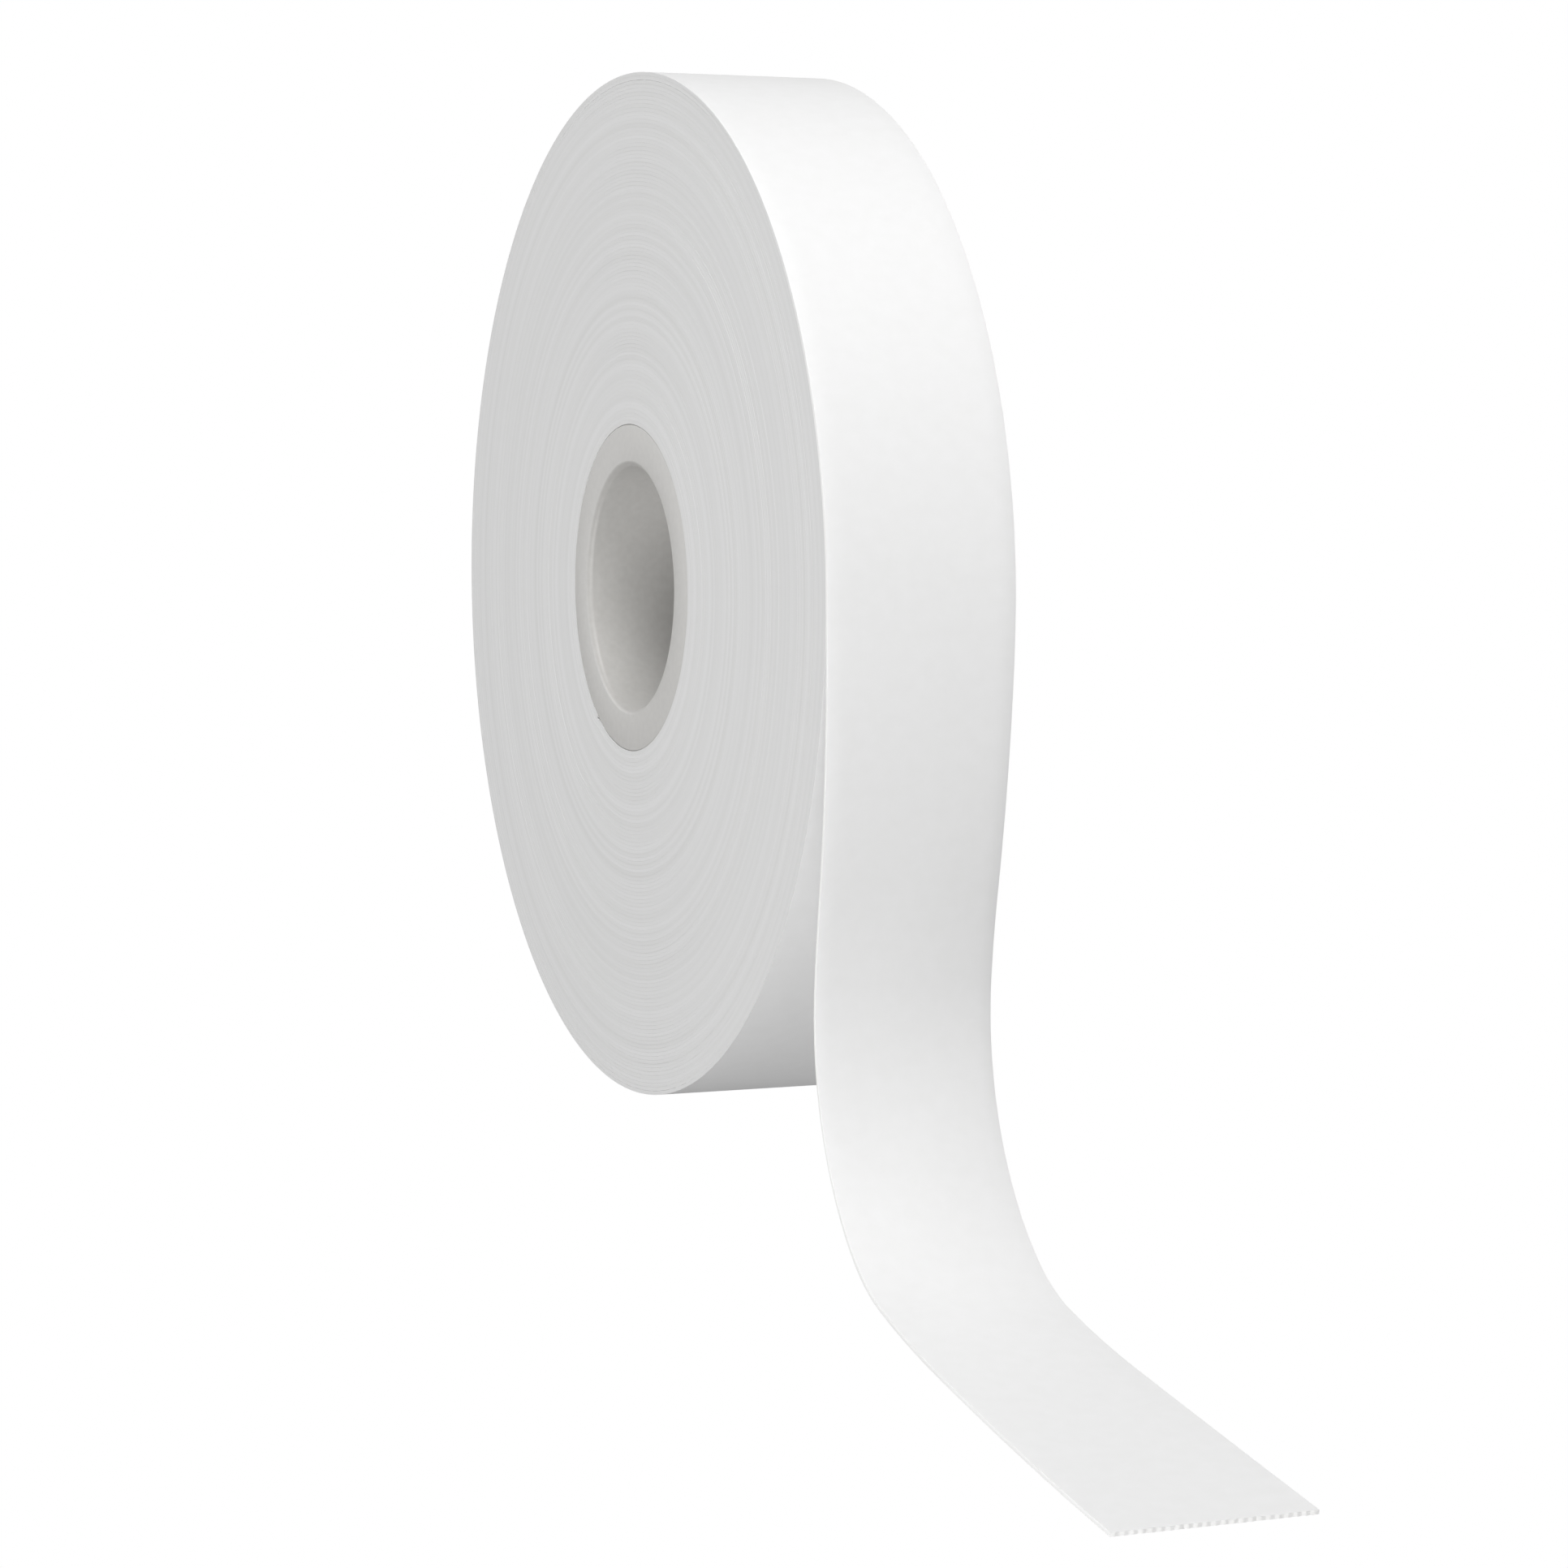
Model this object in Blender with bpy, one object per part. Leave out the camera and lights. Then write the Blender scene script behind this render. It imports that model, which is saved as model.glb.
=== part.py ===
"""A roll of grip tape held on a spindle: a moulded core, the tape wound on it, and the tape's free end.

Metres, +Z up. The origin is the roll's centre and +Y runs along the bore. Seen from -Y, the tape leaves the
roll at +X and hangs down. The strip that can come off the roll is a chain of segments, each hinged to the
one before it, because a bending strip is drawn here as stiff pieces with a narrow gap between them.
"""

import math

import bmesh
import bpy
from mathutils import Vector

# Core
BORE_RADIUS = 0.01905
CORE_WALL = 0.00645
BORE_EDGE_ROUND = 0.0009
CORE_RIM_ROUND = 0.0003

# Tape
TAPE_WIDTH = 0.029
TAPE_THICKNESS = 0.0006
ROLL_RADIUS = 0.0798

# Double-sided strip that holds the first lap to the core
TACK_LENGTH = 0.025
TACK_WIDTH = 0.020
TACK_THICKNESS = 0.0002
TACK_ANGLE = math.radians(205)

# Free end of the tape, as bends that follow each other: length, then turn away from the roll in degrees
TAIL_BENDS = (
    (0.0425, -11),
    (0.0125, 5.5),
    (0.0405, 53.5),
    (0.0125, 25.5),
    (0.019, 6),
    (0.052, 2),
)
TAIL_TWIST = 0.00375  # how far the -Y edge stands out from the +Y edge where the free end twists most
TAIL_TWIST_SKEW = 0.7  # 1 puts that place at the middle of the free end, and less puts it nearer the roll
TAIL_SEGMENTS = 8
LAP_SEGMENTS = 4  # segments of the last lap that can be peeled off the roll

# Fits and smoothness
GAP = 0.0003
ROUND_STEPS = 96
STRIP_STEPS = 8
ROUND_CUT_STEPS = 4
SMOOTH_ANGLE = math.radians(30)

# Sizes that follow
CORE_RADIUS = BORE_RADIUS + CORE_WALL
PACK_INNER_RADIUS = CORE_RADIUS + GAP
STRIP_RADIUS = ROLL_RADIUS - TAPE_THICKNESS / 2
LAP_BELOW_RADIUS = ROLL_RADIUS - TAPE_THICKNESS - GAP
TAIL_LENGTH = sum(length for length, _ in TAIL_BENDS)
PITCH = TAIL_LENGTH / TAIL_SEGMENTS
LAP_FREE_LENGTH = LAP_SEGMENTS * PITCH
LAP_FREE_ANGLE = LAP_FREE_LENGTH / STRIP_RADIUS


def clear_scene():
    for ob in list(bpy.data.objects):
        bpy.data.objects.remove(ob, do_unlink=True)


def make_material(name, color, roughness):
    material = bpy.data.materials.new(name)
    material.use_nodes = True
    shader = material.node_tree.nodes["Principled BSDF"]
    shader.inputs["Base Color"].default_value = (*color, 1.0)
    shader.inputs["Roughness"].default_value = roughness
    shader.inputs["Metallic"].default_value = 0.0
    return material


def make_object(name, bm, material, origin=(0.0, 0.0, 0.0)):
    """An object whose mesh is bm, given in world coordinates, with its origin moved to a point."""
    bmesh.ops.recalc_face_normals(bm, faces=bm.faces)
    bmesh.ops.translate(bm, verts=bm.verts, vec=-Vector(origin))
    mesh = bpy.data.meshes.new(name)
    bm.to_mesh(mesh)
    bm.free()
    mesh.shade_smooth()
    mesh.set_sharp_from_angle(angle=SMOOTH_ANGLE)
    mesh.materials.append(material)
    ob = bpy.data.objects.new(name, mesh)
    ob.location = origin
    bpy.context.collection.objects.link(ob)
    return ob


def polar(radius, angle, y=0.0):
    """A point at an angle from +X towards +Z."""
    return Vector((radius * math.cos(angle), y, radius * math.sin(angle)))


def prism(outline_loops, y_low, y_high):
    """A solid between two Y planes, from closed loops of points: the outside first, then any holes."""
    bm = bmesh.new()
    edges = []
    for loop in outline_loops:
        verts = [bm.verts.new((p.x, y_low, p.z)) for p in loop]
        edges += [bm.edges.new((a, b)) for a, b in zip(verts, verts[1:] + verts[:1])]
    bmesh.ops.triangle_fill(bm, use_beauty=True, use_dissolve=False, edges=edges)
    raised = bmesh.ops.extrude_face_region(bm, geom=bm.faces[:])
    moved = [v for v in raised["geom"] if isinstance(v, bmesh.types.BMVert)]
    bmesh.ops.translate(bm, verts=moved, vec=(0.0, y_high - y_low, 0.0))
    return bm


def rounded_corner(r, y, size, r_side, y_side):
    """Points of a quarter round on a turned profile's corner, from its end face round to its wall."""
    points = []
    for i in range(ROUND_CUT_STEPS + 1):
        a = math.pi / 2 * i / ROUND_CUT_STEPS
        points.append(
            (r - r_side * size * (1 - math.sin(a)), y - y_side * size * (1 - math.cos(a)))
        )
    return points


def core_tube(material):
    """The core: a turned tube with softly rounded mouths, flush with the tape's edges."""
    half = TAPE_WIDTH / 2
    back_out = rounded_corner(CORE_RADIUS, half, CORE_RIM_ROUND, 1, 1)
    front_out = rounded_corner(CORE_RADIUS, -half, CORE_RIM_ROUND, 1, -1)[::-1]
    front_in = rounded_corner(BORE_RADIUS, -half, BORE_EDGE_ROUND, -1, -1)
    back_in = rounded_corner(BORE_RADIUS, half, BORE_EDGE_ROUND, -1, 1)[::-1]
    profile = back_out + front_out + front_in + back_in
    bm = bmesh.new()
    verts = [bm.verts.new((r, y, 0.0)) for r, y in profile]
    edges = [bm.edges.new((a, b)) for a, b in zip(verts, verts[1:] + verts[:1])]
    bmesh.ops.spin(
        bm,
        geom=verts + edges,
        cent=(0.0, 0.0, 0.0),
        axis=(0.0, 1.0, 0.0),
        angle=2 * math.pi,
        steps=ROUND_STEPS,
        use_merge=True,
    )
    return make_object("core_tube", bm, material)


def arc_block(r_low, r_high, angle, length, width):
    """A curved block centred on an angle; its length is measured along its inner face."""
    half = length / r_low / 2
    steps = [angle - half + 2 * half * i / STRIP_STEPS for i in range(STRIP_STEPS + 1)]
    loop = [polar(r_low, a) for a in steps] + [polar(r_high, a) for a in reversed(steps)]
    return prism([loop], -width / 2, width / 2)


def core_tack_strip(material):
    """The thin strip on the core that holds the tape's first lap."""
    low = CORE_RADIUS + GAP
    bm = arc_block(low, low + TACK_THICKNESS, TACK_ANGLE, TACK_LENGTH, TACK_WIDTH)
    return make_object("core_tack_strip", bm, material)


def tape_wound_pack(material):
    """The laps that stay on the roll, as one ring whose rim winds inwards by one lap from the step at the
    first peeling segment round to the line where the tape leaves the roll."""
    turn = 2 * math.pi - LAP_FREE_ANGLE
    wound = [i / ROUND_STEPS for i in range(ROUND_STEPS + 1)]
    rim = [
        polar(
            ROLL_RADIUS + (LAP_BELOW_RADIUS - ROLL_RADIUS) * share,
            LAP_FREE_ANGLE + turn * share,
        )
        for share in wound
    ]
    under_steps = LAP_SEGMENTS * STRIP_STEPS
    under = [
        polar(LAP_BELOW_RADIUS, LAP_FREE_ANGLE * i / under_steps) for i in range(1, under_steps + 1)
    ]
    hole = [polar(PACK_INNER_RADIUS, 2 * math.pi * i / ROUND_STEPS) for i in range(ROUND_STEPS)]
    bm = prism([rim + under, hole], -TAPE_WIDTH / 2, TAPE_WIDTH / 2)
    pack = make_object("tape_wound_pack", bm, material)

    # The laps climb over the tack strip, which leaves a shallow pocket round it.
    cut_low = (PACK_INNER_RADIUS + BORE_RADIUS) / 2
    cut_high = PACK_INNER_RADIUS + TACK_THICKNESS + GAP
    bm = arc_block(
        cut_low,
        cut_high,
        TACK_ANGLE,
        (TACK_LENGTH + 2 * GAP) * cut_low / PACK_INNER_RADIUS,
        TACK_WIDTH + 2 * GAP,
    )
    cutter = make_object("tack_pocket_cutter", bm, material)
    cutter.hide_render = True
    cutter.display_type = "WIRE"
    pocket = pack.modifiers.new("tack_pocket", "BOOLEAN")
    pocket.operation = "DIFFERENCE"
    pocket.solver = "EXACT"
    pocket.object = cutter
    return pack


def strip_bends():
    """Bends of the whole strip that can come off: the last lap's end part, then the free end."""
    lap = (LAP_FREE_LENGTH, -math.degrees(LAP_FREE_ANGLE))
    return (lap, *TAIL_BENDS)


def strip_point(distance):
    """The strip's mid-plane point at a distance from the step in the roll's rim, with the unit vector that
    points away from the roll there. Heading is the angle from straight down towards +X."""
    start = polar(STRIP_RADIUS, LAP_FREE_ANGLE)
    x = start.x
    z = start.z
    heading = LAP_FREE_ANGLE
    left = distance
    bends = strip_bends()
    for i, (length, degrees) in enumerate(bends):
        run = left if i == len(bends) - 1 else min(left, length)
        half_turn = math.radians(degrees) * run / length / 2
        chord = run * math.sin(half_turn) / half_turn if half_turn else run
        x += chord * math.sin(heading + half_turn)
        z -= chord * math.cos(heading + half_turn)
        heading += 2 * half_turn
        left -= run
        if left <= 0:
            break
    return Vector((x, 0.0, z)), Vector((math.cos(heading), 0.0, math.sin(heading)))


def strip_station(distance):
    """The strip's cross-section at a distance, as its four corners in order round it."""
    centre, outward = strip_point(distance)
    along_tail = max(0.0, distance - LAP_FREE_LENGTH) / TAIL_LENGTH
    stand_out = TAIL_TWIST * math.sin(math.pi * along_tail**TAIL_TWIST_SKEW) ** 2
    corners = []
    for side, face in ((-0.5, 0.5), (0.5, 0.5), (0.5, -0.5), (-0.5, -0.5)):
        offset = -side * stand_out + face * TAPE_THICKNESS
        corners.append(centre + outward * offset + Vector((0.0, side * TAPE_WIDTH, 0.0)))
    return corners


def strip_segment(name, index, parent, material):
    """One stiff segment of the strip, with its origin on the hinge line in the gap before it."""
    hinge_at = index * PITCH + GAP / 2
    first = hinge_at + GAP / 2
    last = hinge_at + PITCH - GAP / 2
    bm = bmesh.new()
    rings = []
    for i in range(STRIP_STEPS + 1):
        distance = first + (last - first) * i / STRIP_STEPS
        rings.append([bm.verts.new(p) for p in strip_station(distance)])
    for a, b in zip(rings, rings[1:]):
        for k in range(len(a)):
            n = (k + 1) % len(a)
            bm.faces.new((a[k], a[n], b[n], b[k]))
    bm.faces.new(rings[0])
    bm.faces.new(rings[-1])
    bmesh.ops.triangulate(bm, faces=bm.faces)
    hinge, _ = strip_point(hinge_at)
    segment = make_object(name, bm, material, hinge)
    segment.parent = parent
    segment.matrix_parent_inverse.translation = -parent_place(parent)
    return segment


def parent_place(ob):
    """World place of an object whose parents are only moved, never turned."""
    place = Vector((0.0, 0.0, 0.0))
    if ob.parent is not None:
        place = parent_place(ob.parent) + ob.matrix_parent_inverse.translation
    return place + ob.location


def tape_strip(pack, material):
    """The peeling segments of the last lap, then the segments of the free end, as one hinged chain."""
    names = [f"outer_lap_{i + 1}" for i in range(LAP_SEGMENTS)]
    names += [f"tail_{i + 1}" for i in range(TAIL_SEGMENTS)]
    parent = pack
    for index, name in enumerate(names):
        parent = strip_segment(name, index, parent, material)


def build():
    clear_scene()
    core_plastic = make_material("core_plastic", (0.62, 0.60, 0.57), 0.45)
    tack_film = make_material("tack_film", (0.80, 0.76, 0.62), 0.35)
    tape_white = make_material("tape_white", (0.86, 0.86, 0.86), 0.65)
    core = core_tube(core_plastic)
    tack = core_tack_strip(tack_film)
    pack = tape_wound_pack(tape_white)
    tack.parent = core
    pack.parent = core
    tape_strip(pack, tape_white)


build()
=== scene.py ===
"""The looks of a roll of grip tape: every lap of the tape as one wound strip, its free end, and the core.

Metres, +Z up, the roll's centre at the origin and its bore along Y. The tape leaves the roll at +X.
"""

import math

import bmesh
import bpy
import numpy as np
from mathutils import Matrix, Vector


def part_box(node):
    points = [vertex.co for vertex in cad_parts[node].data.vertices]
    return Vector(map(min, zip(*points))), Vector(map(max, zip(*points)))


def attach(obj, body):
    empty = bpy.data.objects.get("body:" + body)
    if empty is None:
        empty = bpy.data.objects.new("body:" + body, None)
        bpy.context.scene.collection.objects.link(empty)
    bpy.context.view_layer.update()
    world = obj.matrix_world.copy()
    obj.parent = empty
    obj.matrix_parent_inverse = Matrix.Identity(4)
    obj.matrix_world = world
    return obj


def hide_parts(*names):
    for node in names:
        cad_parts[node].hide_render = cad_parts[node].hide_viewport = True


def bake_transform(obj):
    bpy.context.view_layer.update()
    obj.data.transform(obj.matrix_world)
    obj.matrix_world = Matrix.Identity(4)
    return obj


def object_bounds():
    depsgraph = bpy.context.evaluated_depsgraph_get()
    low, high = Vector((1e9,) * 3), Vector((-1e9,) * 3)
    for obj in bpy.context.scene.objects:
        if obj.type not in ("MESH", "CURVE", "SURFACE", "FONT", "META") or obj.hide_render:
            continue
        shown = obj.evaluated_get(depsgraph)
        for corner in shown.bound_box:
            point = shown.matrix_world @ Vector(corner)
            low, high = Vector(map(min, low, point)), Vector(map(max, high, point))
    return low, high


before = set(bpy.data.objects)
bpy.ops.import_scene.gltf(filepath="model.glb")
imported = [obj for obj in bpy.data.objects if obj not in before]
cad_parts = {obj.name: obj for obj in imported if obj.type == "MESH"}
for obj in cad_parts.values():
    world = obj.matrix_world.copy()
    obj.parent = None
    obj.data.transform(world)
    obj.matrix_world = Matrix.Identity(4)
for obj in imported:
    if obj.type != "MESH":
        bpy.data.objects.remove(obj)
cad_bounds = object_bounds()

# ---- Sizes: those that the frame's boxes hold come from it, and the rest repeat the part's own ----
pack_low, pack_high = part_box("tape_wound_pack")
core_low, core_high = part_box("core_tube")
TAPE_WIDTH = pack_high.y - pack_low.y
CORE_RADIUS = core_high.x
ROLL_RADIUS = pack_high.z
TAPE_THICKNESS = 0.0006
BORE_RADIUS = 0.01905
TACK_LENGTH = 0.025
TAIL_BENDS = (
    (0.0425, -11),
    (0.0125, 5.5),
    (0.0405, 53.5),
    (0.0125, 25.5),
    (0.019, 6),
    (0.052, 2),
)  # length, then turn away from the roll in degrees
TAIL_TWIST = 0.00375
TAIL_TWIST_SKEW = 0.7
LAP_SEGMENTS = 4
TAIL_SEGMENTS = 8

STRIP_RADIUS = ROLL_RADIUS - TAPE_THICKNESS / 2
TAIL_LENGTH = sum(length for length, _ in TAIL_BENDS)
PITCH = TAIL_LENGTH / TAIL_SEGMENTS
LAP_FREE_LENGTH = LAP_SEGMENTS * PITCH
LAP_FREE_ANGLE = LAP_FREE_LENGTH / STRIP_RADIUS
STRIP_BENDS = ((LAP_FREE_LENGTH, -math.degrees(LAP_FREE_ANGLE)), *TAIL_BENDS)
# The part of each lap over which it steps in by one thickness.
SHRINKING_ANGLE = 2 * math.pi - LAP_FREE_ANGLE

# ---- Detail ----
TACK_THICKNESS = 0.00005
LAP_GAP = 0.000006
FREE_EDGE_ROUND = 0.00003
WOUND_EDGE_ROUND = 0.000008
STRIP_STEP = 0.0004
STEPS_PER_LAP = 120
FINE_STEPS_PER_LAP = 480
FINE_LAPS = 1.2  # how many of the outermost laps have the finer steps
ACROSS = 12
FREE_EDGE_STEPS = 3
FINE_EDGE_STEPS = 2
TOOTH_PITCH = 0.00125
TOOTH_DEPTH = 0.00011
TOOTH_UNEVEN = (0.7, 1.0)  # the least and the most of that depth
ACROSS_PER_TOOTH = 8
LOFT_SMOOTH_ANGLE = math.radians(20)  # smooth along the tape, and sharp at its edges
CORE_SMOOTH_ANGLE = math.radians(40)
CORE_STEPS = 256
CORE_ROUND_STEPS = 8
BORE_ROUND = 0.0009
RIM_ROUND = 0.00012
TACK_STEPS = 24
UV_PER_METRE = 10
LAP_SEED = 11
TOOTH_SEED = 11

# The wound laps: a whole number of them fits between the rim and the tack film, a little compressed.
START_RADIUS = CORE_RADIUS + TACK_THICKNESS + 2 * LAP_GAP + TAPE_THICKNESS / 2
LAPS = math.ceil((STRIP_RADIUS - START_RADIUS) / TAPE_THICKNESS)
LAP_PITCH = (STRIP_RADIUS - START_RADIUS) / LAPS
tack_low, tack_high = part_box("core_tack_strip")
tack_centre = (tack_low + tack_high) / 2
TACK_ANGLE = math.atan2(tack_centre.z, tack_centre.x)
TACK_HALF_ANGLE = TACK_LENGTH / 2 / CORE_RADIUS
# Where in a lap the tape starts, which is at the film's end, and how much of a lap the climb over it takes.
START_PART = (TACK_ANGLE + TACK_HALF_ANGLE - LAP_FREE_ANGLE) / (2 * math.pi) % 1.0
START_STEP_PART = 0.015

# ---- The tape's path ----
def smooth(share):
    """Rises gently from 0 to 1, and is level outside that."""
    share = max(0.0, min(1.0, share))
    return share * share * (3 - 2 * share)


def polar(radius, angle, y=0.0):
    return Vector((radius * math.cos(angle), y, radius * math.sin(angle)))


def free_point(distance):
    """Mid-plane point and outward unit vector of the strip that can come off.
    The distance runs along it from the step in the rim."""
    start = polar(STRIP_RADIUS, LAP_FREE_ANGLE)
    x = start.x
    z = start.z
    heading = LAP_FREE_ANGLE
    left = distance
    last = len(STRIP_BENDS) - 1
    for i, (length, degrees) in enumerate(STRIP_BENDS):
        run = left if i == last else min(left, length)
        half_turn = math.radians(degrees) * run / length / 2
        chord = run * math.sin(half_turn) / half_turn if half_turn else run
        x += chord * math.sin(heading + half_turn)
        z -= chord * math.cos(heading + half_turn)
        heading += 2 * half_turn
        left -= run
        if left <= 0:
            break
    return Vector((x, 0.0, z)), Vector((math.cos(heading), 0.0, math.sin(heading)))


def wound_radius(turned):
    """Mid-plane radius of the wound tape, at an angle turned back from the step in the rim.
    The outer laps step in evenly all round, as the rim does. Towards the core they lie rounder, and step in
    more and more where they climb over the tape's start."""
    laps, part = divmod(turned / (2 * math.pi), 1.0)
    evenly = min(1.0, part * 2 * math.pi / SHRINKING_ANGLE)
    at_start = smooth((part - START_PART) / START_STEP_PART)
    even_share = 1 - laps / LAPS
    stepped = at_start + (evenly - at_start) * even_share
    return STRIP_RADIUS - LAP_PITCH * (laps + stepped)


def wound_point(turned):
    return polar(wound_radius(turned), LAP_FREE_ANGLE + turned), polar(1.0, LAP_FREE_ANGLE + turned)


# ---- How the wound edges shift sideways from lap to lap, which draws the rings on the roll's faces ----
LAP_STEP = 0.0000015
GROOVE_DEPTH = 0.000016
GROOVE_APART = (2, 6)
DRIFT = 0.00003
DRIFT_LAPS = 23.0
SHIFT_TURN = 0.3


def lap_shifts():
    """Sideways place of each lap: a slow drift, a small unevenness, and a proud or sunk lap every few."""
    random = np.random.RandomState(LAP_SEED)
    shifts = [
        DRIFT * math.sin(2 * math.pi * lap / DRIFT_LAPS) + LAP_STEP * random.uniform(-1, 1)
        for lap in range(LAPS + 1)
    ]
    lap = random.randint(*GROOVE_APART)
    while lap < LAPS:
        shifts[lap] += GROOVE_DEPTH * random.uniform(-1, 1)
        lap += random.randint(*GROOVE_APART)
    return shifts


LAP_SHIFTS = lap_shifts()


def lap_shift(turned):
    """Sideways shift of the tape at an angle turned back from the step in the rim.
    The free end has none."""
    lap, part = divmod(turned / (2 * math.pi), 1.0)
    lap = int(lap)
    before = LAP_SHIFTS[lap - 1] if lap else 0.0
    return before + (LAP_SHIFTS[lap] - before) * smooth(part / SHIFT_TURN)


# ---- Meshes ----
def strip_section(thickness, edge_round, across, round_steps):
    """Closed outline of the tape's cross-section: (side, face, on the edge) for each point, in metres.
    It runs over the outer face from -Y to +Y, round the +Y edge, back under, and round the -Y edge."""
    skin = thickness / 2
    flat = TAPE_WIDTH / 2 - edge_round
    outer = [(-flat + 2 * flat * i / across, skin) for i in range(across + 1)]
    corner = []
    for i in range(1, round_steps + 1):
        a = math.pi / 2 * i / round_steps
        corner.append((flat + edge_round * math.sin(a), skin - edge_round * (1 - math.cos(a))))
    right = corner + [(side, -face) for side, face in reversed(corner)]
    inner = [(side, -face) for side, face in reversed(outer)]
    left = [(-side, -face) for side, face in right]
    points = outer + right + inner + left
    edge = [False] * across + [True] * (len(right) + 1) + [False] * across + [True] * (len(left) + 1)
    return points, edge


def end_quads(section_points):
    """Quads across a section from its outer to its inner side, so that an end can be toothed."""
    size = len(section_points)
    start = max(range(size), key=lambda k: section_points[k][0] + section_points[(k + 1) % size][0])
    quads = []
    for i in range(size // 2 - 1):
        quads.append([n % size for n in (start + 1 + i, start + 2 + i, start - 1 - i, start - i)])
    return quads


def lofted(name, rings, lengths, section_points, section_edge, materials):
    """A closed solid through rings of points. Its UVs run round the section, then along."""
    count = len(rings)
    size = len(section_points)
    verts = [tuple(p) for ring in rings for p in ring]
    faces = []
    for i in range(count - 1):
        for k in range(size):
            n = (k + 1) % size
            faces.append((i * size + k, i * size + n, (i + 1) * size + n, (i + 1) * size + k))
    quads = end_quads(section_points)
    ends = [(0, quad[::-1]) for quad in quads] + [(count - 1, quad) for quad in quads]
    faces += [tuple(i * size + k for k in quad) for i, quad in ends]
    mesh = bpy.data.meshes.new(name)
    mesh.from_pydata(verts, [], faces)

    around = [0.0]
    for k in range(size):
        a = Vector(section_points[k])
        b = Vector(section_points[(k + 1) % size])
        around.append(around[-1] + (b - a).length)
    uvs = []
    for i in range(count - 1):
        for k in range(size):
            low = (around[k] * UV_PER_METRE, lengths[i] * UV_PER_METRE)
            high = (around[k + 1] * UV_PER_METRE, lengths[i + 1] * UV_PER_METRE)
            uvs += [low[0], low[1], high[0], low[1], high[0], high[1], low[0], high[1]]
    for i, quad in ends:
        for k in quad:
            side, face = section_points[k]
            uvs += [side * UV_PER_METRE, (lengths[i] + face) * UV_PER_METRE]
    layer = mesh.uv_layers.new(name="tape")
    layer.data.foreach_set("uv", uvs)

    for material in materials:
        mesh.materials.append(material)
    slots = [1 if e else 0 for e in section_edge] * (count - 1) + [1] * len(ends)
    mesh.polygons.foreach_set("material_index", slots)
    mesh.shade_smooth()
    mesh.set_sharp_from_angle(angle=LOFT_SMOOTH_ANGLE)
    mesh.update()
    ob = bpy.data.objects.new(name, mesh)
    bpy.context.collection.objects.link(ob)
    return ob


def ring_at(centre, outward, section_points, shift, stand_out):
    """One ring of points: the section set at a point of the path, shifted sideways and twisted."""
    ring = []
    for side, face in section_points:
        offset = face - stand_out * side / TAPE_WIDTH
        ring.append(centre + outward * offset + Vector((0.0, side + shift, 0.0)))
    return ring


def strip_ring(distance, section_points):
    """A ring of the strip at a distance past the step in the rim, or before it where that is negative."""
    if distance < 0:
        turned = -distance / STRIP_RADIUS
        centre, outward = wound_point(turned)
        return ring_at(centre, outward, section_points, lap_shift(turned), 0.0)
    centre, outward = free_point(distance)
    share = max(0.0, distance - LAP_FREE_LENGTH) / TAIL_LENGTH
    stand_out = TAIL_TWIST * math.sin(math.pi * share**TAIL_TWIST_SKEW) ** 2
    return ring_at(centre, outward, section_points, 0.0, stand_out)


def strip_piece(name, first, last, materials):
    """A length of the strip between two distances."""
    points, edge = strip_section(TAPE_THICKNESS - LAP_GAP, FREE_EDGE_ROUND, ACROSS, FREE_EDGE_STEPS)
    steps = max(2, round((last - first) / STRIP_STEP))
    lengths = [first + (last - first) * i / steps for i in range(steps + 1)]
    rings = [strip_ring(d, points) for d in lengths]
    return lofted(name, rings, lengths, points, edge, materials)


def cut_end_piece(name, first, last, materials):
    """The last length of the strip, whose end is cut with fine teeth."""
    teeth = round(TAPE_WIDTH / TOOTH_PITCH)
    across = teeth * ACROSS_PER_TOOTH
    points, edge = strip_section(TAPE_THICKNESS - LAP_GAP, FREE_EDGE_ROUND, across, FREE_EDGE_STEPS)
    steps = max(2, round((last - first) / STRIP_STEP))
    shares = [i / steps for i in range(steps + 1)]
    uneven = np.random.RandomState(TOOTH_SEED).uniform(*TOOTH_UNEVEN, teeth + 2)
    rings = []
    for share in shares:
        ring = []
        for side, face in points:
            along = (side / TAPE_WIDTH + 0.5) * teeth
            tooth = 2 * abs(along - math.floor(along) - 0.5)
            depth = TOOTH_DEPTH * uneven[int(max(0, min(teeth, along)))] * tooth
            distance = first + (last - depth - first) * share
            ring.append(strip_ring(distance, [(side, face)])[0])
        rings.append(ring)
    lengths = [first + (last - first) * share for share in shares]
    return lofted(name, rings, lengths, points, edge, materials)


def wound_piece(name, first, last, steps_per_lap, section, materials):
    """Wound tape between two angles turned back from the step in the rim, as one continuous strip."""
    points, edge = section
    step = 2 * math.pi / steps_per_lap
    steps = round((last - first) / step)
    rings = []
    lengths = []
    length = STRIP_RADIUS * first
    for i in range(steps + 1):
        turned = first + step * i
        centre, outward = wound_point(turned)
        rings.append(ring_at(centre, outward, points, lap_shift(turned), 0.0)[::-1])
        lengths.append(-length)
        length += wound_radius(turned) * step
    return lofted(name, rings, lengths, points[::-1], edge[:-1][::-1] + [edge[-1]], materials)


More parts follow.
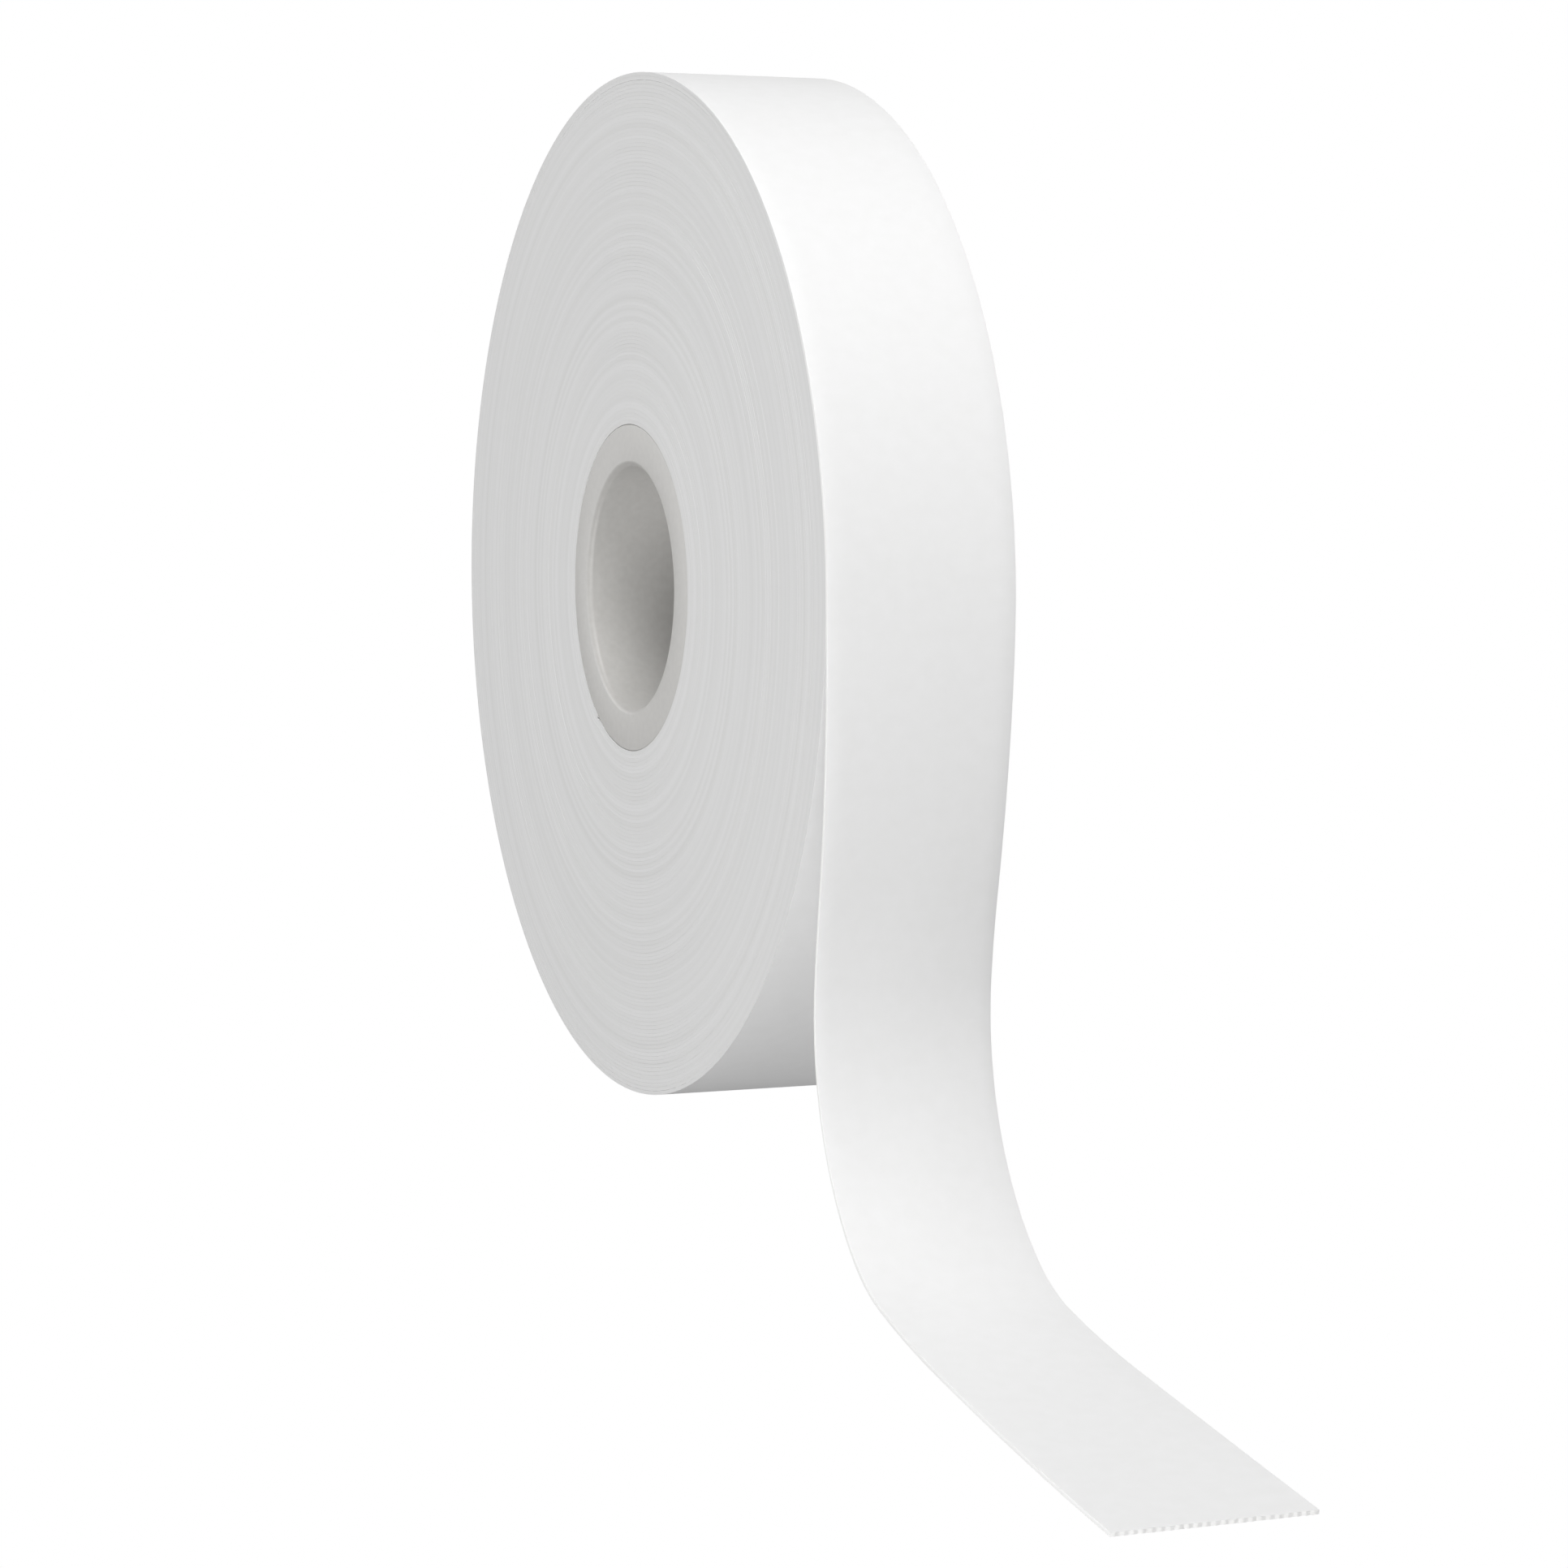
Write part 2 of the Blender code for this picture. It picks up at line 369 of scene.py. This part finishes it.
def turned_solid(name, profile, steps, material):
    """A solid of revolution about Y, from a closed profile of (radius, y)."""
    size = len(profile)
    verts = [tuple(polar(r, 2 * math.pi * i / steps, y)) for i in range(steps) for r, y in profile]
    faces = []
    for i in range(steps):
        j = (i + 1) % steps
        for k in range(size):
            n = (k + 1) % size
            faces.append((i * size + k, j * size + k, j * size + n, i * size + n))
    mesh = bpy.data.meshes.new(name)
    mesh.from_pydata(verts, [], faces)
    mesh.materials.append(material)
    mesh.shade_smooth()
    mesh.set_sharp_from_angle(angle=CORE_SMOOTH_ANGLE)
    ob = bpy.data.objects.new(name, mesh)
    bpy.context.collection.objects.link(ob)
    return ob


# ---- Materials ----
# The tone rings on the wound slit edges are painted shade of the grooves between laps.
GROOVE_SHADE_RING_SCALE = 650.0  # rings of tone per metre of radius, about
BUMP_DISTANCE = 0.00003


def new_material(name, color, roughness):
    material = bpy.data.materials.new(name)
    material.use_nodes = True
    shader = material.node_tree.nodes["Principled BSDF"]
    shader.inputs["Base Color"].default_value = (*color, 1.0)
    shader.inputs["Roughness"].default_value = roughness
    return material, material.node_tree, shader


def add(tree, kind, **settings):
    node = tree.nodes.new(kind)
    for key, value in settings.items():
        setattr(node, key, value)
    return node


def noise_node(tree, vector, scale, detail):
    node = add(tree, "ShaderNodeTexNoise")
    node.inputs["Scale"].default_value = scale
    node.inputs["Detail"].default_value = detail
    tree.links.new(vector, node.inputs["Vector"])
    return node.outputs["Fac"]


def color_between(tree, factor, low, high, from_low=0.3, from_high=0.7):
    ramp = add(tree, "ShaderNodeValToRGB")
    ramp.color_ramp.elements[0].position = from_low
    ramp.color_ramp.elements[1].position = from_high
    ramp.color_ramp.elements[0].color = (*low, 1.0)
    ramp.color_ramp.elements[1].color = (*high, 1.0)
    tree.links.new(factor, ramp.inputs["Fac"])
    return ramp.outputs["Color"]


def range_of(tree, factor, low, high):
    node = add(tree, "ShaderNodeMapRange")
    node.inputs["To Min"].default_value = low
    node.inputs["To Max"].default_value = high
    tree.links.new(factor, node.inputs["Value"])
    return node.outputs["Result"]


def bump(tree, height, strength, under=None):
    node = add(tree, "ShaderNodeBump")
    node.inputs["Strength"].default_value = strength
    node.inputs["Distance"].default_value = BUMP_DISTANCE
    tree.links.new(height, node.inputs["Height"])
    if under is not None:
        tree.links.new(under, node.inputs["Normal"])
    return node.outputs["Normal"]


def stretched(tree, vector, scale):
    node = add(tree, "ShaderNodeMapping")
    node.inputs["Scale"].default_value = scale
    tree.links.new(vector, node.inputs["Vector"])
    return node.outputs["Vector"]


def tape_face_material():
    """The coated face: satin polyurethane with a fine grain and faint calender marks along it."""
    material, tree, shader = new_material("tape_face", (0.83, 0.83, 0.83), 0.55)
    uv = add(tree, "ShaderNodeUVMap", uv_map="tape").outputs["UV"]
    cloud = noise_node(tree, uv, 40.0, 4.0)
    tree.links.new(
        color_between(tree, cloud, (0.823, 0.823, 0.821), (0.838, 0.838, 0.838)),
        shader.inputs["Base Color"],
    )
    grain = add(tree, "ShaderNodeTexVoronoi", feature="SMOOTH_F1")
    grain.inputs["Scale"].default_value = 330.0
    tree.links.new(uv, grain.inputs["Vector"])
    lines = noise_node(tree, stretched(tree, uv, (260.0, 5.0, 1.0)), 1.0, 3.0)
    tree.links.new(range_of(tree, cloud, 0.60, 0.68), shader.inputs["Roughness"])
    first = bump(tree, lines, 0.04)
    second = bump(tree, grain.outputs["Distance"], 0.04, first)
    tree.links.new(second, shader.inputs["Normal"])
    return material


def distance_from_bore(tree, scale):
    """The distance from the bore's axis, drawn out so that noise over it comes in rings."""
    at = add(tree, "ShaderNodeTexCoord").outputs["Object"]
    flat = add(tree, "ShaderNodeVectorMath", operation="MULTIPLY")
    flat.inputs[1].default_value = (1.0, 0.0, 1.0)
    tree.links.new(at, flat.inputs[0])
    length = add(tree, "ShaderNodeVectorMath", operation="LENGTH")
    tree.links.new(flat.outputs["Vector"], length.inputs[0])
    rings = add(tree, "ShaderNodeCombineXYZ")
    tree.links.new(length.outputs["Value"], rings.inputs["X"])
    return stretched(tree, rings.outputs["Vector"], (scale, 1.0, 1.0))


def tape_edge_material():
    """The slit edge: coat over felt. On the roll its tone changes in rings, which paint the shade of the
    grooves between laps.
    Where the tape comes off the roll, it turns into the free end's lighter edge: painted light, much
    lighter than the same edge on the roll."""
    material, tree, shader = new_material("tape_edge", (0.74, 0.74, 0.74), 0.85)
    uv = add(tree, "ShaderNodeUVMap", uv_map="tape").outputs["UV"]
    # Painted shade: darker and lighter rings by distance from the bore stand in for the shade in the
    # grooves between the wound laps.
    rings = noise_node(tree, distance_from_bore(tree, GROOVE_SHADE_RING_SCALE), 1.0, 2.0)
    wound = color_between(tree, rings, (0.700, 0.700, 0.695), (0.755, 0.755, 0.755), 0.30, 0.62)
    patches = noise_node(tree, stretched(tree, uv, (40.0, 9.0, 1.0)), 1.0, 2.0)
    # Painted light: the free end's slit edges and its cut end get a much lighter tone than the same edge on
    # the roll, as if lit.
    free = color_between(tree, patches, (0.915, 0.91, 0.90), (0.955, 0.955, 0.95))
    place = add(tree, "ShaderNodeSeparateXYZ")
    tree.links.new(uv, place.inputs["Vector"])
    # Blends from the roll's edge tone to the painted-light tone over the lap that comes off.
    painted_light_on_free_edge = add(tree, "ShaderNodeMapRange", interpolation_type="SMOOTHSTEP")
    painted_light_on_free_edge.inputs["From Min"].default_value = 0.0
    painted_light_on_free_edge.inputs["From Max"].default_value = LAP_FREE_LENGTH * UV_PER_METRE
    tree.links.new(place.outputs["Y"], painted_light_on_free_edge.inputs["Value"])
    mix = add(tree, "ShaderNodeMix", data_type="RGBA")
    # Of this node's sockets, 0 is the factor, 6 and 7 are the two colours, and output 2 is the colour.
    tree.links.new(painted_light_on_free_edge.outputs["Result"], mix.inputs[0])
    tree.links.new(wound, mix.inputs[6])
    tree.links.new(free, mix.inputs[7])
    tree.links.new(mix.outputs[2], shader.inputs["Base Color"])
    fibres = noise_node(tree, stretched(tree, uv, (900.0, 260.0, 1.0)), 1.0, 4.0)
    tree.links.new(bump(tree, fibres, 0.08), shader.inputs["Normal"])
    tree.links.new(range_of(tree, fibres, 0.78, 0.92), shader.inputs["Roughness"])
    return material


def core_material():
    """Warm grey moulded plastic with a fine spark-eroded grain."""
    material, tree, shader = new_material("core_plastic", (0.53, 0.515, 0.50), 0.42)
    at = add(tree, "ShaderNodeTexCoord").outputs["Object"]
    cloud = noise_node(tree, at, 900.0, 3.0)
    tree.links.new(
        color_between(tree, cloud, (0.510, 0.502, 0.485), (0.545, 0.537, 0.520)),
        shader.inputs["Base Color"],
    )
    grain = noise_node(tree, at, 5200.0, 3.0)
    tree.links.new(bump(tree, grain, 0.22), shader.inputs["Normal"])
    tree.links.new(range_of(tree, cloud, 0.38, 0.48), shader.inputs["Roughness"])
    return material


def tack_material():
    material, tree, shader = new_material("tack_film", (0.78, 0.74, 0.60), 0.3)
    at = add(tree, "ShaderNodeTexCoord").outputs["Object"]
    cloud = noise_node(tree, at, 400.0, 3.0)
    tree.links.new(
        color_between(tree, cloud, (0.74, 0.70, 0.56), (0.82, 0.78, 0.64)),
        shader.inputs["Base Color"],
    )
    return material


# ---- The object ----
def quarter(r, y, size, r_side, y_side):
    """Points of a rounded corner, from the end face round to the wall."""
    points = []
    for i in range(CORE_ROUND_STEPS + 1):
        a = math.pi / 2 * i / CORE_ROUND_STEPS
        points.append((r - r_side * size * (1 - math.sin(a)), y - y_side * size * (1 - math.cos(a))))
    return points


def make_core():
    half = (core_high.y - core_low.y) / 2
    profile = quarter(CORE_RADIUS, half, RIM_ROUND, 1, 1)
    profile += quarter(CORE_RADIUS, -half, RIM_ROUND, 1, -1)[::-1]
    profile += quarter(BORE_RADIUS, -half, BORE_ROUND, -1, -1)
    profile += quarter(BORE_RADIUS, half, BORE_ROUND, -1, 1)[::-1]
    core = turned_solid("core", profile, CORE_STEPS, core_material())
    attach(core, "roll")
    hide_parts("core_tube")


def make_tack():
    """The thin film between the core and the first lap, where the frame has it."""
    half_width = (tack_high.y - tack_low.y) / 2
    inner = CORE_RADIUS + LAP_GAP
    outer = CORE_RADIUS + TACK_THICKNESS
    rings = []
    lengths = []
    section = [(-half_width, outer), (half_width, outer), (half_width, inner), (-half_width, inner)]
    for i in range(TACK_STEPS + 1):
        a = TACK_ANGLE + TACK_HALF_ANGLE * (1 - 2 * i / TACK_STEPS)
        rings.append([polar(r, a, y) for y, r in section])
        lengths.append(-a * CORE_RADIUS)
    material = tack_material()
    film = lofted("tack_film", rings, lengths, section, [False] * 4, [material, material])
    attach(film, "roll")
    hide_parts("core_tack_strip")


def make_tape():
    face = tape_face_material()
    edge = tape_edge_material()

    split = PITCH / 2
    fine = strip_section(LAP_PITCH - LAP_GAP, WOUND_EDGE_ROUND, ACROSS, FINE_EDGE_STEPS)
    plain = strip_section(LAP_PITCH - LAP_GAP, WOUND_EDGE_ROUND, 1, 1)
    outer_end = split / STRIP_RADIUS
    fine_end = outer_end + round(FINE_STEPS_PER_LAP * FINE_LAPS) * 2 * math.pi / FINE_STEPS_PER_LAP
    tape_start = (LAPS + START_PART) * 2 * math.pi
    last_lap = wound_piece("tape_last_lap", outer_end, fine_end, FINE_STEPS_PER_LAP, fine, [face, edge])
    laps = wound_piece("tape_wound_laps", fine_end, tape_start, STEPS_PER_LAP, plain, [face, edge])
    for ob in (last_lap, laps):
        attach(ob, "roll")
    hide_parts("tape_wound_pack")

    bodies = ["roll"] + [f"outer_lap_{i + 1}" for i in range(LAP_SEGMENTS)]
    bodies += [f"tail_{i + 1}" for i in range(TAIL_SEGMENTS)]
    for i, body in enumerate(bodies[1:]):
        middle = i * PITCH
        piece = strip_piece(f"tape_bend_{i + 1}", middle - split, middle + split, [face, edge])
        _, outward = free_point(max(0.0, middle))
        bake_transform(piece)
        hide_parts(body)
    last_split = (LAP_SEGMENTS + TAIL_SEGMENTS) * PITCH - split
    end_piece = cut_end_piece("tape_cut_end", last_split, last_split + split, [face, edge])
    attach(end_piece, bodies[-1])


# ---- The studio ----
# The camera's place and aim are in roll radii.
CAMERA_AT = (7.705, -3.013, 0.255)
CAMERA_AIM = (0.3577, 0.0, -0.3658)
CAMERA_LENS = 95.85
FLOOR_DROP = 0.52
FLOOR_RADIUS = 1.5
FLOOR_FADE_START = 0.25
FLOOR_FADE_END = 0.8
FLOOR_STEPS = 96
LIGHTS_AIM = (0.03, 0.0, -0.02)
LIGHT_DISTANCE = 1.0
# name, azimuth, elevation, size, power
LIGHTS = (
    ("overhead", 0, 60, 0.7, 1.3),
    ("overhead_front", 30, 60, 0.7, 6.2),
    ("right", 0, 5, 0.7, 2.25),
    ("front_top", 90, 70, 0.6, 2.1),
    ("front_left", 140, 10, 0.7, 3.55),
    ("low_right", 40, -20, 0.7, 4.3),
    ("low_front", 60, -50, 0.7, 3.55),
    ("back", -90, 20, 0.7, 2.4),
    ("back_left", -118, 0, 0.7, 3.6),
)
SKY = 0.03


def make_camera():
    camera = bpy.data.objects.new("camera", bpy.data.cameras.new("camera"))
    bpy.context.collection.objects.link(camera)
    camera.data.sensor_width = 36.0
    camera.data.lens = CAMERA_LENS
    camera.location = Vector(CAMERA_AT) * ROLL_RADIUS
    look = Vector(CAMERA_AIM) * ROLL_RADIUS - camera.location
    camera.rotation_euler = look.to_track_quat("-Z", "Y").to_euler()
    camera.data.clip_start = 0.01
    camera.data.clip_end = 100.0
    bpy.context.scene.camera = camera


def make_floor():
    """A pale round floor well under the roll, fading to white at its edge."""
    bm = bmesh.new()
    bmesh.ops.create_circle(bm, cap_ends=True, segments=FLOOR_STEPS, radius=FLOOR_RADIUS)
    mesh = bpy.data.meshes.new("floor")
    bm.to_mesh(mesh)
    bm.free()
    material, tree, shader = new_material("floor_pale", (0.80, 0.80, 0.80), 0.9)
    at = add(tree, "ShaderNodeTexCoord").outputs["Object"]
    out = add(tree, "ShaderNodeVectorMath", operation="LENGTH")
    tree.links.new(at, out.inputs[0])
    fade = add(tree, "ShaderNodeMapRange", interpolation_type="SMOOTHSTEP")
    fade.inputs["From Min"].default_value = FLOOR_RADIUS * FLOOR_FADE_START
    fade.inputs["From Max"].default_value = FLOOR_RADIUS * FLOOR_FADE_END
    tree.links.new(out.outputs["Value"], fade.inputs["Value"])
    white = add(tree, "ShaderNodeEmission")
    white.inputs["Strength"].default_value = 1.0
    mix = add(tree, "ShaderNodeMixShader")
    tree.links.new(fade.outputs["Result"], mix.inputs["Fac"])
    tree.links.new(shader.outputs["BSDF"], mix.inputs[1])
    tree.links.new(white.outputs["Emission"], mix.inputs[2])
    tree.links.new(mix.outputs["Shader"], tree.nodes["Material Output"].inputs["Surface"])
    mesh.materials.append(material)
    floor = bpy.data.objects.new("floor", mesh)
    bpy.context.collection.objects.link(floor)
    floor.location.z = cad_bounds[0].z - FLOOR_DROP
    floor.visible_diffuse = False
    floor.visible_glossy = False
    floor.visible_shadow = False


def area_light(name, azimuth, elevation, size, power):
    """A soft round light, at an angle from +X towards -Y and an angle above the floor."""
    level = math.radians(elevation)
    turn = math.radians(azimuth)
    toward = Vector((math.cos(level) * math.cos(turn), -math.cos(level) * math.sin(turn), math.sin(level)))
    light = bpy.data.objects.new(name, bpy.data.lights.new(name, "AREA"))
    bpy.context.collection.objects.link(light)
    light.data.shape = "DISK"
    light.data.size = size
    light.data.energy = power
    light.location = Vector(LIGHTS_AIM) + toward * LIGHT_DISTANCE
    light.rotation_euler = (-toward).to_track_quat("-Z", "Y").to_euler()
    light.visible_camera = False


def make_lights():
    for light in LIGHTS:
        area_light(*light)
    world = bpy.data.worlds.new("studio")
    bpy.context.scene.world = world
    world.use_nodes = True
    tree = world.node_tree
    tree.nodes.clear()
    fill = add(tree, "ShaderNodeBackground")
    fill.inputs["Color"].default_value = (1.0, 1.0, 1.0, 1.0)
    fill.inputs["Strength"].default_value = SKY
    white = add(tree, "ShaderNodeBackground")
    white.inputs["Color"].default_value = (1.0, 1.0, 1.0, 1.0)
    white.inputs["Strength"].default_value = 1.0
    path = add(tree, "ShaderNodeLightPath")
    mix = add(tree, "ShaderNodeMixShader")
    output = add(tree, "ShaderNodeOutputWorld")
    tree.links.new(path.outputs["Is Camera Ray"], mix.inputs["Fac"])
    tree.links.new(fill.outputs["Background"], mix.inputs[1])
    tree.links.new(white.outputs["Background"], mix.inputs[2])
    tree.links.new(mix.outputs["Shader"], output.inputs["Surface"])
    bpy.context.scene.view_settings.view_transform = "Standard"
    bpy.context.scene.view_settings.look = "None"


make_camera()
make_core()
make_tack()
make_tape()
make_floor()
make_lights()
